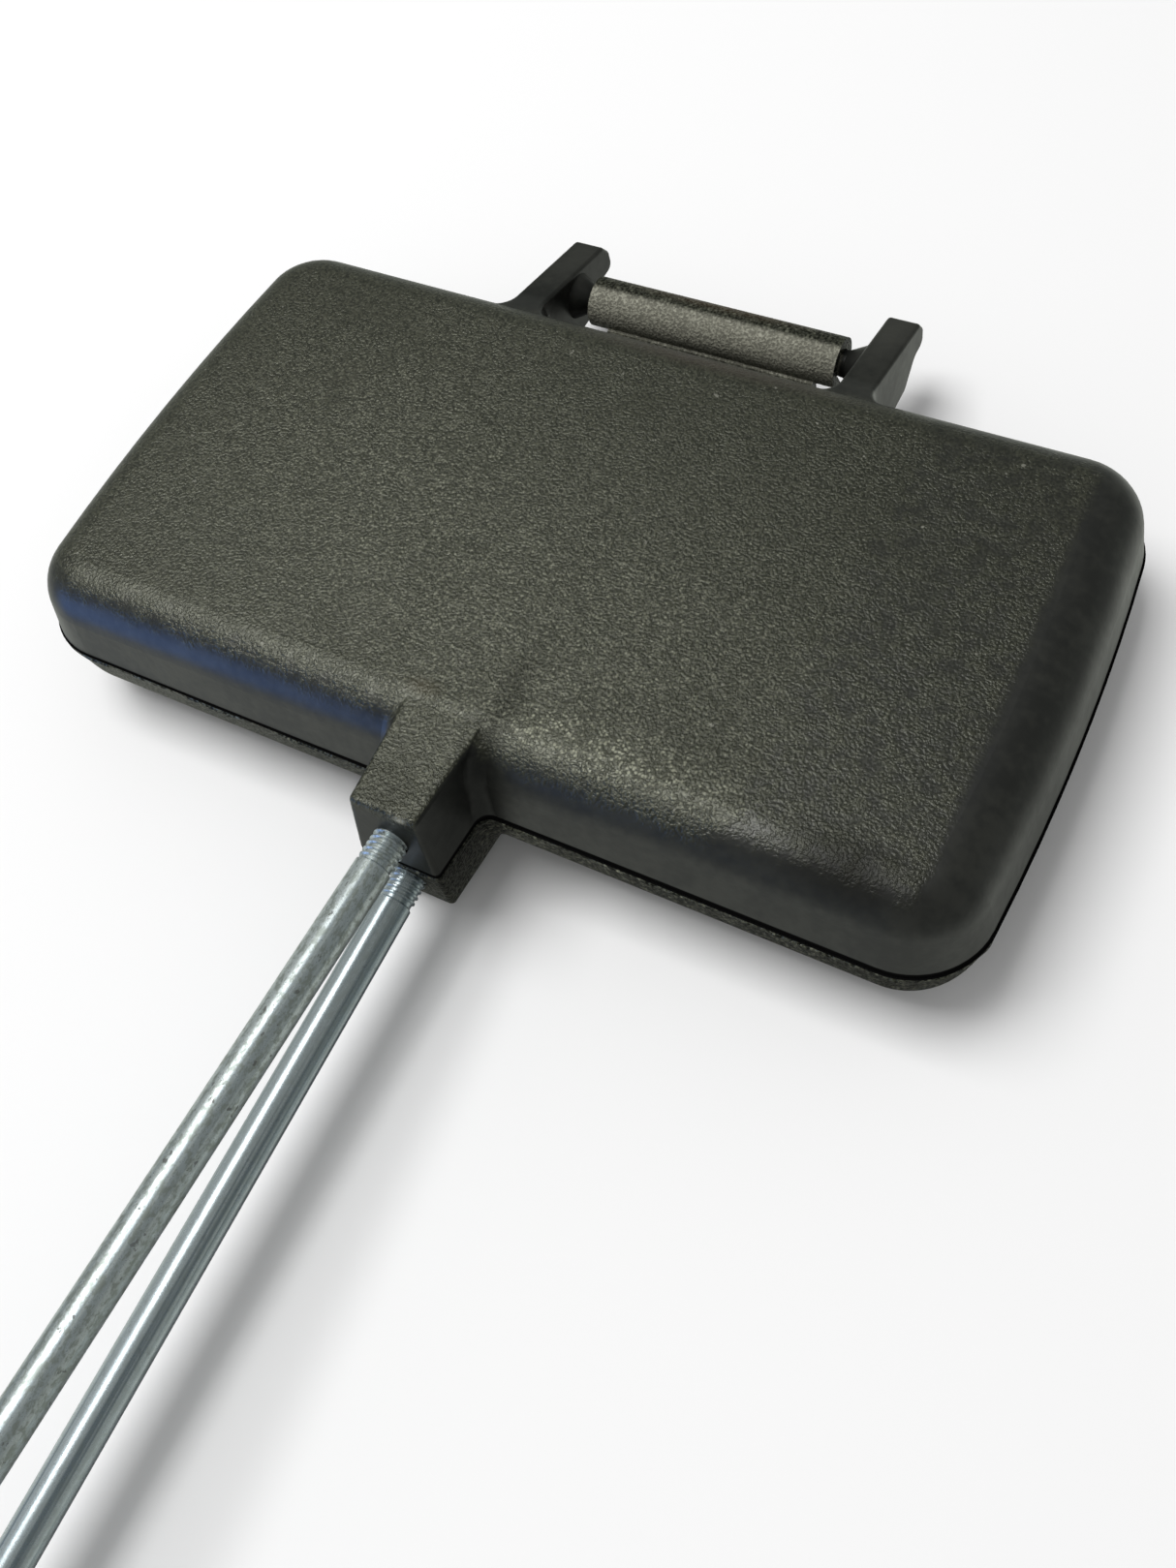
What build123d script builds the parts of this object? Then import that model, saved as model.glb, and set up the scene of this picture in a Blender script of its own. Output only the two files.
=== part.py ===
from build123d import *
import os
from math import cos, radians, sin, tan

# A two-slice pie iron: two cast pans that hinge at the back and close rim to rim,
# each on a long steel rod with a turned wooden grip. Millimetres.
# X runs along the pans, +Y points to the hinge, +Z up through the closed pans.
# The origin is the centre of the lower pan's flat outer face.

# --- Pans (each half; outside sizes are at the rim) -------------------------------
PAN_LENGTH = 233.6
PAN_WIDTH = 126.2
PAN_HEIGHT = 18.8
PAN_CORNER_RADIUS = 17.6
PAN_EDGE_RADIUS = 11.6
PAN_DRAFT = 10.9
END_BOW = 3.4
LOWER_RIM_STEP = 0.4
RIM_WIDTH = 5.2
FLOOR_THICKNESS = 4.2
CAVITY_DRAFT = 14.0
CAVITY_FLOOR_RADIUS = 7.0
RIM_GAP = 0.25

# --- Rod boss at the front of each pan ----------------------------------------------
BOSS_REACH = 17.2
BOSS_TOP_DROP = 0.3
BOSS_RIM_WIDTH = 19.6
BOSS_TOP_WIDTH = 15.8
BOSS_FLARE = 1.9
BOSS_FRONT_DRAFT = 6.0
BOSS_EDGE_RADIUS = 1.2
BOSS_ROOT_RADIUS = 3.5

# --- Hinge: barrel on the lower pan, two ears with nubs on the upper one ---------------
HINGE_SETBACK = 15.5
HINGE_RISE = 3.8
BARREL_RADIUS = 6.1
BARREL_BORE_RADIUS = 3.5
BARREL_LENGTH = 66.4
BARREL_SLOT_ANGLE = -62.0
SLOT_CLEARANCE = 0.15
EAR_GAP = 5.7
EAR_THICKNESS = 8.3
EAR_TIP_REACH = 18.2
EAR_TIP_RISE = 3.5
EAR_TIP_DROP = 5.2
EAR_TIP_LEAN = 0.65
EAR_NOTCH_REACH = 12.5
EAR_LOBE_REACH = 6.8
EAR_LOBE_DROP = 11.0
EAR_ROOT_SINK = 1.3
EAR_RIM_CLEARANCE = 1.2
EAR_RELIEF = 3.6
EAR_CORNER_RADIUS = 2.2
EAR_EDGE_RADIUS = 0.9
EAR_ROOT_RADIUS = 3.0
NUB_CLEARANCE = 0.3
NUB_TIP_RADIUS = 2.5
NUB_DEPTH = 6.0
NUB_FLARE_RADIUS = 5.7
NUB_FLARE_CLEARANCE = 1.0
WEB_LENGTH = 56.0
WEB_THICKNESS = 6.5
WEB_DROP = 13.0
WEB_TOP_DROP = 1.0

# --- Rods -----------------------------------------------------------------------------
ROD_DIAMETER = 7.94
ROD_OFFSET = 8.05
ROD_SPREAD = 2.6
ROD_SEATED = 18.5
ROD_SHOWN = 392.0
THREAD_PITCH = 1.411
THREAD_DEPTH_RATIO = 0.5413
THREADS_SHOWN = 4
THREADS_SEATED = 12
ROD_CLEARANCE = 0.05
COLLAR_DIAMETER = 11.5
COLLAR_LENGTH = 3.0
COLLAR_SHOULDER = 1.5

# --- Wooden grips and their hardware -------------------------------------------------------
GRIP_LENGTH = 128.0
GRIP_NECK_DIAMETER = 19.0
GRIP_BELLY_DIAMETER = 28.0
GRIP_WAIST_DIAMETER = 24.5
GRIP_END_DIAMETER = 27.0
GRIP_END_RADIUS = 5.0
GRIP_BELLY_PLACE = 0.38
GRIP_WAIST_PLACE = 0.74
TENON_DIAMETER = 15.0
TENON_LENGTH = 13.0
FERRULE_WALL = 1.0
WASHER_DIAMETER = 19.0
WASHER_THICKNESS = 1.6
NUT_ACROSS_FLATS = 12.7
NUT_HEX_HEIGHT = 6.8
NUT_DOME_RADIUS = 5.7
NUT_THREAD_DEPTH = 8.0

# --- Worked out from the sizes above ---------------------------------------------------------
LOWER_RIM_Z = PAN_HEIGHT
UPPER_RIM_Z = LOWER_RIM_Z + RIM_GAP
HALF_WIDTH = PAN_WIDTH / 2
BOSS_FRONT_Y = -(HALF_WIDTH + BOSS_REACH)
HINGE_Y = HALF_WIDTH + HINGE_SETBACK
HINGE_Z = LOWER_RIM_Z + HINGE_RISE
EAR_INNER_X = BARREL_LENGTH / 2 + EAR_GAP
ROD_RADIUS = ROD_DIAMETER / 2
BORE_RADIUS = ROD_RADIUS + ROD_CLEARANCE
THREAD_DEPTH = THREAD_DEPTH_RATIO * THREAD_PITCH
EDGE_TOLERANCE = 0.01
FLAT_INSET = PAN_EDGE_RADIUS + (PAN_HEIGHT - PAN_EDGE_RADIUS) * tan(radians(PAN_DRAFT))


def rim_outline(inset):
    """The pan's outline at the rim, moved in by inset: long sides straight, ends bowed."""
    x = PAN_LENGTH / 2 - inset
    y = HALF_WIDTH - inset
    corner_x = x - END_BOW
    sides = [
        Line((-corner_x, -y), (corner_x, -y)),
        ThreePointArc((corner_x, -y), (x, 0), (corner_x, y)),
        Line((corner_x, y), (-corner_x, y)),
        ThreePointArc((-corner_x, y), (-x, 0), (-corner_x, -y)),
    ]
    face = make_face(Curve() + sides)
    return fillet(face.vertices(), PAN_CORNER_RADIUS - inset)


def drafted_block(inset, height, draft, edge_radius):
    """A block on the rim outline that leans in as it rises, its top edge rounded."""
    block = extrude(rim_outline(inset), height, taper=draft)
    top_edges = block.faces().sort_by(Axis.Z)[-1].edges()
    return fillet(top_edges, edge_radius)


def boss():
    """The block that takes the rod, its top a hair below the pan's flat face."""
    height = PAN_HEIGHT - BOSS_TOP_DROP
    back_y = -(HALF_WIDTH - FLAT_INSET) + BOSS_ROOT_RADIUS
    top_front_y = BOSS_FRONT_Y + height * tan(radians(BOSS_FRONT_DRAFT))
    sections = []
    for z, front_y, width in (
        (0, BOSS_FRONT_Y, BOSS_RIM_WIDTH),
        (height, top_front_y, BOSS_TOP_WIDTH),
    ):
        near = width / 2
        far = near + BOSS_FLARE
        corners = [(-near, front_y), (near, front_y), (far, back_y), (-far, back_y)]
        sections.append(Plane.XY.offset(z) * make_face(Polyline(*corners, close=True)))
    block = loft(sections)
    front = block.faces().sort_by(Axis.Y)[0]
    top = block.faces().sort_by(Axis.Z)[-1]
    top_sides = [e for e in top.edges() if e.center().Y < back_y - BOSS_EDGE_RADIUS]
    front_sides = [e for e in front.edges() if e.bounding_box().size.Z > height / 2]
    return fillet(top_sides + front_sides, BOSS_EDGE_RADIUS)


def rod_plane(side, rim_z=0.0):
    """Plane at the boss's front whose normal runs out along the rod (side: 1 upper, -1 lower)."""
    spread = radians(ROD_SPREAD)
    return Plane(
        origin=(0, BOSS_FRONT_Y, rim_z + side * ROD_OFFSET),
        x_dir=(1, 0, 0),
        z_dir=(0, -cos(spread), side * sin(spread)),
    )


def root_edges(body):
    """Inner edges where the boss's two sides meet the pan's wall."""
    found = []
    for edge in body.edges():
        centre = edge.center()
        near_side = BOSS_TOP_WIDTH / 2 < abs(centre.X) < BOSS_RIM_WIDTH / 2 + BOSS_FLARE
        on_wall = abs(centre.Y + HALF_WIDTH) < FLAT_INSET and edge.length > BOSS_ROOT_RADIUS
        if near_side and on_wall and centre.Z > BOSS_EDGE_RADIUS:
            found.append(edge)
    return found


def pan_blank(step):
    """A pan with its boss and rod hole, rim down at z = 0, without cavity or hinge."""
    body = drafted_block(-step, PAN_HEIGHT, PAN_DRAFT, PAN_EDGE_RADIUS) + boss()
    body = fillet(root_edges(body), BOSS_ROOT_RADIUS)
    hole = rod_plane(1) * Cylinder(
        BORE_RADIUS, 2 * (ROD_SEATED + ROD_CLEARANCE), align=(Align.CENTER,) * 3
    )
    return body - hole


def cavity():
    depth = PAN_HEIGHT - FLOOR_THICKNESS
    return drafted_block(RIM_WIDTH, depth, CAVITY_DRAFT, CAVITY_FLOOR_RADIUS)


def ear(side, axis_z):
    """One ear of the upper pan (side: 1 at +X, -1 at -X), rim of that pan at z = 0."""
    tip_y = HINGE_Y + EAR_TIP_REACH
    root_y = HALF_WIDTH - FLAT_INSET + EAR_EDGE_RADIUS
    clear_y = HALF_WIDTH + LOWER_RIM_STEP + EAR_RELIEF
    hidden_y = HALF_WIDTH - RIM_WIDTH / 2
    outline = [
        (root_y, PAN_HEIGHT - EAR_ROOT_SINK),
        (tip_y - EAR_TIP_RISE, axis_z + EAR_TIP_RISE),
        (tip_y - EAR_TIP_LEAN, axis_z),
        (tip_y, axis_z - EAR_TIP_DROP),
        (HINGE_Y + EAR_NOTCH_REACH, axis_z - EAR_TIP_DROP),
        (HINGE_Y + EAR_LOBE_REACH, axis_z - EAR_LOBE_DROP),
        (HINGE_Y, axis_z - EAR_LOBE_DROP),
        (clear_y, EAR_RIM_CLEARANCE),
        (hidden_y, EAR_RIM_CLEARANCE),
    ]
    profile = make_face(Polyline(*outline, close=True))
    free_corners = [v for v in profile.vertices() if v.X > clear_y + EAR_CORNER_RADIUS]
    profile = fillet(free_corners, EAR_CORNER_RADIUS)
    inner = Plane(origin=(side * EAR_INNER_X, 0, 0), x_dir=(0, 1, 0), z_dir=(1, 0, 0))
    return extrude(inner * profile, side * EAR_THICKNESS)


def ear_edges(body, low_y, high_y):
    """Edges that lie in the ears' side faces, with their middles between two Y places."""
    side_faces = (EAR_INNER_X, EAR_INNER_X + EAR_THICKNESS)
    found = []
    for edge in body.edges():
        centre = edge.center()
        flat = edge.bounding_box().size.X < EDGE_TOLERANCE
        in_face = any(abs(abs(centre.X) - x) < EDGE_TOLERANCE for x in side_faces)
        if flat and in_face and low_y < centre.Y < high_y:
            found.append(edge)
    return found


def nub(side, axis_z):
    """The tapered pivot cast on an ear's inner face, flared at the ear, in the barrel's mouth."""
    mouth_radius = BARREL_BORE_RADIUS - NUB_CLEARANCE
    taper = (mouth_radius - NUB_TIP_RADIUS) / NUB_DEPTH
    root_radius = mouth_radius + taper * EAR_GAP
    length = EAR_GAP + NUB_DEPTH
    base = Plane(origin=(side * EAR_INNER_X, HINGE_Y, axis_z), z_dir=(-side, 0, 0))
    on_floor = (Align.CENTER, Align.CENTER, Align.MIN)
    pivot = Cone(root_radius, NUB_TIP_RADIUS, length, align=on_floor)
    flare = Cone(NUB_FLARE_RADIUS, mouth_radius, EAR_GAP - NUB_FLARE_CLEARANCE, align=on_floor)
    return base * (pivot + flare)


def upper_pan():
    axis_z = HINGE_RISE - RIM_GAP
    body = pan_blank(0) + ear(1, axis_z) + ear(-1, axis_z)
    body = fillet(ear_edges(body, HALF_WIDTH - FLAT_INSET, HALF_WIDTH), EAR_ROOT_RADIUS)
    body = fillet(ear_edges(body, HALF_WIDTH, HINGE_Y + EAR_TIP_REACH), EAR_EDGE_RADIUS)
    body = body + nub(1, axis_z) + nub(-1, axis_z)
    return Pos(0, 0, UPPER_RIM_Z) * (body - cavity())


def barrel():
    """The slotted hinge barrel and the web that carries it, in the finished position."""
    axis = Plane(origin=(0, HINGE_Y, HINGE_Z), x_dir=(0, 1, 0), z_dir=(1, 0, 0))
    tube = Cylinder(BARREL_RADIUS, BARREL_LENGTH)
    wall_y = HALF_WIDTH - RIM_WIDTH / 2
    top_z = LOWER_RIM_Z - WEB_TOP_DROP
    web_outline = [
        (wall_y, top_z),
        (HINGE_Y - BARREL_RADIUS, HINGE_Z - BARREL_RADIUS / 2),
        (HINGE_Y, HINGE_Z),
        (HINGE_Y - BARREL_BORE_RADIUS, HINGE_Z - BARREL_BORE_RADIUS),
        (HINGE_Y - BARREL_BORE_RADIUS, HINGE_Z - BARREL_RADIUS),
        (HINGE_Y - BARREL_RADIUS, top_z - WEB_THICKNESS),
        (HALF_WIDTH, LOWER_RIM_Z - WEB_DROP),
        (wall_y, LOWER_RIM_Z - WEB_DROP),
    ]
    web_face = Plane.YZ * make_face(Polyline(*web_outline, close=True))
    web = extrude(web_face, WEB_LENGTH / 2, both=True)
    bore = Cylinder(BARREL_BORE_RADIUS, BARREL_LENGTH + BARREL_RADIUS)
    slot_width = 2 * (BARREL_BORE_RADIUS - NUB_CLEARANCE + SLOT_CLEARANCE)
    slot = Rot(0, 0, BARREL_SLOT_ANGLE) * Box(
        2 * BARREL_RADIUS,
        slot_width,
        BARREL_LENGTH + BARREL_RADIUS,
        align=(Align.MIN, Align.CENTER, Align.CENTER),
    )
    return axis * tube + web - axis * bore - axis * slot


def lower_pan():
    body = pan_blank(LOWER_RIM_STEP) - cavity()
    body = Pos(0, 0, LOWER_RIM_Z) * mirror(body, about=Plane.XY)
    return body + barrel()


def rod_profile():
    """Half section of a rod: radius along X, distance from the boss's front along Y."""
    root = ROD_RADIUS - THREAD_DEPTH
    points = [(0, -ROD_SEATED), (root, -ROD_SEATED)]
    first = -THREADS_SEATED * THREAD_PITCH
    points += [(ROD_RADIUS, first - THREAD_DEPTH), (ROD_RADIUS, first)]
    for turn in range(THREADS_SEATED + THREADS_SHOWN):
        start = first + turn * THREAD_PITCH
        points += [(root, start + THREAD_PITCH / 2), (ROD_RADIUS, start + THREAD_PITCH)]
    collar_start = ROD_SHOWN - COLLAR_LENGTH
    tail_end = ROD_SHOWN + GRIP_LENGTH + WASHER_THICKNESS + NUT_THREAD_DEPTH - ROD_CLEARANCE
    points += [
        (ROD_RADIUS, collar_start - COLLAR_SHOULDER),
        (COLLAR_DIAMETER / 2, collar_start),
        (COLLAR_DIAMETER / 2, ROD_SHOWN),
        (ROD_RADIUS, ROD_SHOWN),
        (ROD_RADIUS, tail_end - THREAD_DEPTH),
        (root, tail_end),
        (0, tail_end),
    ]
    return points


def turned(points):
    """Turn a half section of (radius, distance) points about the Z axis."""
    return revolve(Plane.XZ * make_face(Polyline(*points, close=True)), Axis.Z)


def rod():
    return turned(rod_profile())


def grip():
    """A turned wooden grip, bored for the rod, with a tenon at the front for its ferrule."""
    shoulder = ROD_SHOWN + TENON_LENGTH
    end = ROD_SHOWN + GRIP_LENGTH
    length = end - shoulder
    neck = (GRIP_NECK_DIAMETER / 2, shoulder)
    belly = (GRIP_BELLY_DIAMETER / 2, shoulder + length * GRIP_BELLY_PLACE)
    waist = (GRIP_WAIST_DIAMETER / 2, shoulder + length * GRIP_WAIST_PLACE)
    rim = (GRIP_END_DIAMETER / 2, end - GRIP_END_RADIUS)
    face_edge = (GRIP_END_DIAMETER / 2 - GRIP_END_RADIUS, end)
    front = [(BORE_RADIUS, ROD_SHOWN), (TENON_DIAMETER / 2, ROD_SHOWN)]
    outline = Curve() + [
        Polyline(*front, (TENON_DIAMETER / 2, shoulder), neck),
        Spline(neck, belly, waist, rim),
        RadiusArc(rim, face_edge, GRIP_END_RADIUS),
        Polyline(face_edge, (BORE_RADIUS, end), front[0]),
    ]
    return revolve(Plane.XZ * make_face(outline), Axis.Z)


def ferrule():
    """A thin metal ring over the grip's tenon, lipped in at the front."""
    inner = TENON_DIAMETER / 2 + ROD_CLEARANCE
    outer = inner + FERRULE_WALL
    front = ROD_SHOWN
    back = ROD_SHOWN + TENON_LENGTH
    points = [(inner, front), (outer - FERRULE_WALL / 2, front), (outer, front + FERRULE_WALL)]
    points += [(outer, back), (inner, back)]
    return turned(points)


def washer():
    start = ROD_SHOWN + GRIP_LENGTH
    end = start + WASHER_THICKNESS
    outer = WASHER_DIAMETER / 2
    return turned([(BORE_RADIUS, start), (outer, start), (outer, end), (BORE_RADIUS, end)])


def cap_nut():
    """A domed hex nut that closes the rod's tail."""
    start = ROD_SHOWN + GRIP_LENGTH + WASHER_THICKNESS
    hexagon = RegularPolygon(NUT_ACROSS_FLATS / 2, 6, major_radius=False)
    prism = extrude(Plane.XY.offset(start) * hexagon, NUT_HEX_HEIGHT)
    dome = Pos(0, 0, start + NUT_HEX_HEIGHT) * Sphere(NUT_DOME_RADIUS)
    bore = Pos(0, 0, start) * Cylinder(
        BORE_RADIUS, NUT_THREAD_DEPTH, align=(Align.CENTER, Align.CENTER, Align.MIN)
    )
    return prism + dome - bore


def along_rod(piece, side):
    """Stand a piece made along Z on the upper (1) or lower (-1) rod's line."""
    rim_z = UPPER_RIM_Z if side > 0 else LOWER_RIM_Z
    return rod_plane(side, rim_z) * piece


def build():
    """Every piece by node name, in its finished place."""
    nodes = {"upper_pan": upper_pan(), "lower_pan": lower_pan()}
    pieces = {"rod": rod, "ferrule": ferrule, "grip": grip, "washer": washer, "cap_nut": cap_nut}
    for name, make in pieces.items():
        piece = make()
        nodes["upper_" + name] = along_rod(piece, 1)
        nodes["lower_" + name] = along_rod(piece, -1)
    return nodes


os.makedirs("parts", exist_ok=True)
for node, solid in build().items():
    export_step(solid, f"parts/{node}.step")
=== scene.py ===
"""A cast-iron pie iron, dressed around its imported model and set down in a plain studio.

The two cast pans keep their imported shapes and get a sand-cast finish, and a thin ragged bead of
iron is added along the lower rim. The rods, grips and hardware are modelled here in full: rolled
threads, turned wood, ferrules, washers and nuts. Lengths in the dataclasses are millimetres; MM
turns them into Blender's metres.
"""

import logging
import math
from dataclasses import dataclass, replace
from enum import Enum
from typing import Sequence

import bmesh
import bpy
from mathutils import Euler, Matrix, Vector, noise


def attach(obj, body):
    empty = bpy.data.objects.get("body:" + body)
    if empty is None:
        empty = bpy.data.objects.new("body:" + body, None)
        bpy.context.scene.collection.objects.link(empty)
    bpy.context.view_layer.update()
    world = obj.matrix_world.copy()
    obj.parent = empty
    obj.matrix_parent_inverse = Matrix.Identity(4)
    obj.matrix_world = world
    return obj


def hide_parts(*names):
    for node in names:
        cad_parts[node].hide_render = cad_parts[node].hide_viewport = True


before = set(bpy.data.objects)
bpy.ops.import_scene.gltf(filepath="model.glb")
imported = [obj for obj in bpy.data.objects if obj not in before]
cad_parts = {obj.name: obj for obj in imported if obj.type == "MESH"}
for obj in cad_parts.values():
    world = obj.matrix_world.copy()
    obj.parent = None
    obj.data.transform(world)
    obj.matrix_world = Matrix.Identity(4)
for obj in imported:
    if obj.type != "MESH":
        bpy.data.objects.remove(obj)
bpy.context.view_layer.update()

LOG = logging.getLogger("pie_iron")
MM = 0.001
FULL_TURN = 2 * math.pi
SHARP_ANGLE = math.radians(32)

Socket = bpy.types.NodeSocket
Colour = tuple[float, float, float]
Point = tuple[float, float]


class Slot(Enum):
    """The record's material slots."""

    CAST_IRON = "cast_iron"
    ZINC_ROD = "zinc_rod"
    HARDWARE = "plated_hardware"
    WOOD = "grip_wood"


class Half(Enum):
    """The two halves of the iron, by the word that starts their nodes' names."""

    UPPER = "upper"
    LOWER = "lower"

    @property
    def side(self) -> int:
        """1 for the upper half, -1 for the lower."""
        return 1 if self is Half.UPPER else -1

    @property
    def body(self) -> str:
        """The name of the half's moving body."""
        return f"{self.value}_half"

    def node(self, piece: str) -> str:
        """The name of one of the half's nodes."""
        return f"{self.value}_{piece}"


# --- Shader graphs ------------------------------------------------------------------------


class Graph:
    """A material's node tree, with one short call for each node that the finishes use."""

    def __init__(self, name: str) -> None:
        """Start an empty node material.

        Args:
            name: The material's name.
        """
        self.material = bpy.data.materials.new(name)
        self.material.use_nodes = True
        self.tree = self.material.node_tree
        self.tree.nodes.clear()
        self.coordinates = self.tree.nodes.new("ShaderNodeTexCoord")

    def _feed(self, socket: Socket, value: "Socket | float | Sequence[float]") -> None:
        """Link a socket to an input, or set the input to a constant.

        Args:
            socket: The input.
            value: A socket, a number, or a colour or vector. A colour may leave out its alpha.
        """
        if isinstance(value, bpy.types.NodeSocket):
            self.tree.links.new(value, socket)
        elif isinstance(value, (int, float)) or len(value) == len(socket.default_value):
            socket.default_value = value
        else:
            socket.default_value = (*value, 1.0)

    def place(self) -> Socket:
        """Object coordinates, in metres."""
        return self.coordinates.outputs["Object"]

    def facing(self) -> Socket:
        """The surface normal in the piece's own axes."""
        return self.coordinates.outputs["Normal"]

    def split(self, vector: Socket) -> tuple[Socket, Socket, Socket]:
        """Take a vector apart.

        Args:
            vector: The vector.

        Returns:
            Its X, Y and Z.
        """
        node = self.tree.nodes.new("ShaderNodeSeparateXYZ")
        self._feed(node.inputs[0], vector)
        return node.outputs[0], node.outputs[1], node.outputs[2]

    def mapped(self, scale: Sequence[float], turn: Sequence[float] = (0, 0, 0)) -> Socket:
        """Object coordinates, turned and then stretched.

        Args:
            scale: Factor on each axis.
            turn: Euler angles in radians, applied before the stretch.

        Returns:
            The mapped coordinates.
        """
        turned = self.tree.nodes.new("ShaderNodeMapping")
        turned.inputs["Rotation"].default_value = turn
        self._feed(turned.inputs["Vector"], self.place())
        stretched = self.tree.nodes.new("ShaderNodeMapping")
        stretched.inputs["Scale"].default_value = scale
        self._feed(stretched.inputs["Vector"], turned.outputs[0])
        return stretched.outputs[0]

    def math(self, operation: str, a: "Socket | float", b: "Socket | float" = 0.0) -> Socket:
        """One Math node.

        Args:
            operation: The node's operation.
            a: Its first value.
            b: Its second value.

        Returns:
            The result.
        """
        node = self.tree.nodes.new("ShaderNodeMath")
        node.operation = operation
        self._feed(node.inputs[0], a)
        self._feed(node.inputs[1], b)
        return node.outputs[0]

    def ramp(self, value: Socket, low: float, high: float, to: Point = (0.0, 1.0)) -> Socket:
        """A smooth step from to[0] at low to to[1] at high.

        Args:
            value: The value to map.
            low: Where the step starts.
            high: Where it ends.
            to: The results below and above the step.

        Returns:
            The mapped value.
        """
        node = self.tree.nodes.new("ShaderNodeMapRange")
        node.interpolation_type = "SMOOTHSTEP"
        for socket, number in zip(node.inputs[1:5], (low, high, *to)):
            socket.default_value = number
        self._feed(node.inputs[0], value)
        return node.outputs[0]

    def span(self, value: Socket, places: Point, to: Point = (0.0, 1.0)) -> Socket:
        """The same smooth step between two places given in millimetres."""
        return self.ramp(value, places[0] * MM, places[1] * MM, to)

    def noise(self, scale: float, detail: float = 2.0, rough: float = 0.5,
              at: "Socket | None" = None) -> Socket:
        """Fractal noise, 0 to 1.

        Args:
            scale: Lumps per metre.
            detail: Octaves.
            rough: Share of each finer octave.
            at: Coordinates, the object's own if left out.

        Returns:
            The noise factor.
        """
        node = self.tree.nodes.new("ShaderNodeTexNoise")
        self._feed(node.inputs["Vector"], at or self.place())
        node.inputs["Scale"].default_value = scale
        node.inputs["Detail"].default_value = detail
        node.inputs["Roughness"].default_value = rough
        return node.outputs[0]

    def cells(self, scale: float, at: "Socket | None" = None) -> tuple[Socket, Socket]:
        """Rounded Voronoi cells.

        Args:
            scale: Cells per metre.
            at: Coordinates, the object's own if left out.

        Returns:
            The distance to the nearest cell's middle, and that cell's random colour.
        """
        node = self.tree.nodes.new("ShaderNodeTexVoronoi")
        self._feed(node.inputs["Vector"], at or self.place())
        node.inputs["Scale"].default_value = scale
        return node.outputs["Distance"], node.outputs["Color"]

    def mix(self, factor: "Socket | float", a: "Socket | Colour", b: "Socket | Colour",
            blend: str = "MIX") -> Socket:
        """Mix two colours.

        Args:
            factor: The share of the second colour, 0 to 1.
            a: The first colour.
            b: The second colour.
            blend: How the second is laid over the first.

        Returns:
            The mixed colour.
        """
        node = self.tree.nodes.new("ShaderNodeMix")
        node.data_type = "RGBA"
        node.blend_type = blend
        self._feed(node.inputs[0], factor)
        self._feed(node.inputs[6], a)
        self._feed(node.inputs[7], b)
        return node.outputs[2]

    def near(self, spot: Sequence[float], reach: Sequence[float]) -> Socket:
        """1 at a spot, falling to 0 at an ellipsoid around it.

        Args:
            spot: The middle, in millimetres.
            reach: The ellipsoid's half axes, in millimetres.

        Returns:
            The mask.
        """
        node = self.tree.nodes.new("ShaderNodeVectorMath")
        node.operation = "SUBTRACT"
        self._feed(node.inputs[0], self.place())
        node.inputs[1].default_value = [c * MM for c in spot]
        scaled = self.tree.nodes.new("ShaderNodeVectorMath")
        scaled.operation = "DIVIDE"
        self._feed(scaled.inputs[0], node.outputs[0])
        scaled.inputs[1].default_value = [c * MM for c in reach]
        length = self.tree.nodes.new("ShaderNodeVectorMath")
        length.operation = "LENGTH"
        self._feed(length.inputs[0], scaled.outputs[0])
        return self.ramp(length.outputs["Value"], 1.0, 0.0)

    def bump(self, height: Socket, depth: float, under: "Socket | None" = None) -> Socket:
        """A bumped normal.

        Args:
            height: The height map, 0 to 1.
            depth: The full height, in millimetres.
            under: A normal to bump further.

        Returns:
            The normal.
        """
        node = self.tree.nodes.new("ShaderNodeBump")
        node.inputs["Distance"].default_value = depth * MM
        self._feed(node.inputs["Height"], height)
        if under is not None:
            self._feed(node.inputs["Normal"], under)
        return node.outputs[0]

    def surface(self, **inputs: "Socket | float | Colour") -> bpy.types.Material:
        """Finish the material with one Principled shader.

        Args:
            inputs: Values or sockets by input name, with _ for each space.

        Returns:
            The material.
        """
        shader = self.tree.nodes.new("ShaderNodeBsdfPrincipled")
        for name, value in inputs.items():
            self._feed(shader.inputs[name.replace("_", " ")], value)
        output = self.tree.nodes.new("ShaderNodeOutputMaterial")
        self.tree.links.new(shader.outputs[0], output.inputs[0])
        return self.material


# --- Finishes -------------------------------------------------------------------------------


@dataclass(frozen=True)
class StainAndShade:
    """A tinted patch on the casting. Some are real staining and a chip; the others are painted
    shade, and on the ears painted light and shade.
    """

    spot: tuple[float, float, float]
    reach: tuple[float, float, float]
    colour: Colour
    strength: float
    dulling: float = 0.0


@dataclass(frozen=True)
class GlintPatch:
    """A patch where more of the grains get a painted glint: painted highlight."""

    spot: tuple[float, float, float]
    reach: tuple[float, float, float]
    strength: float


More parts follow.
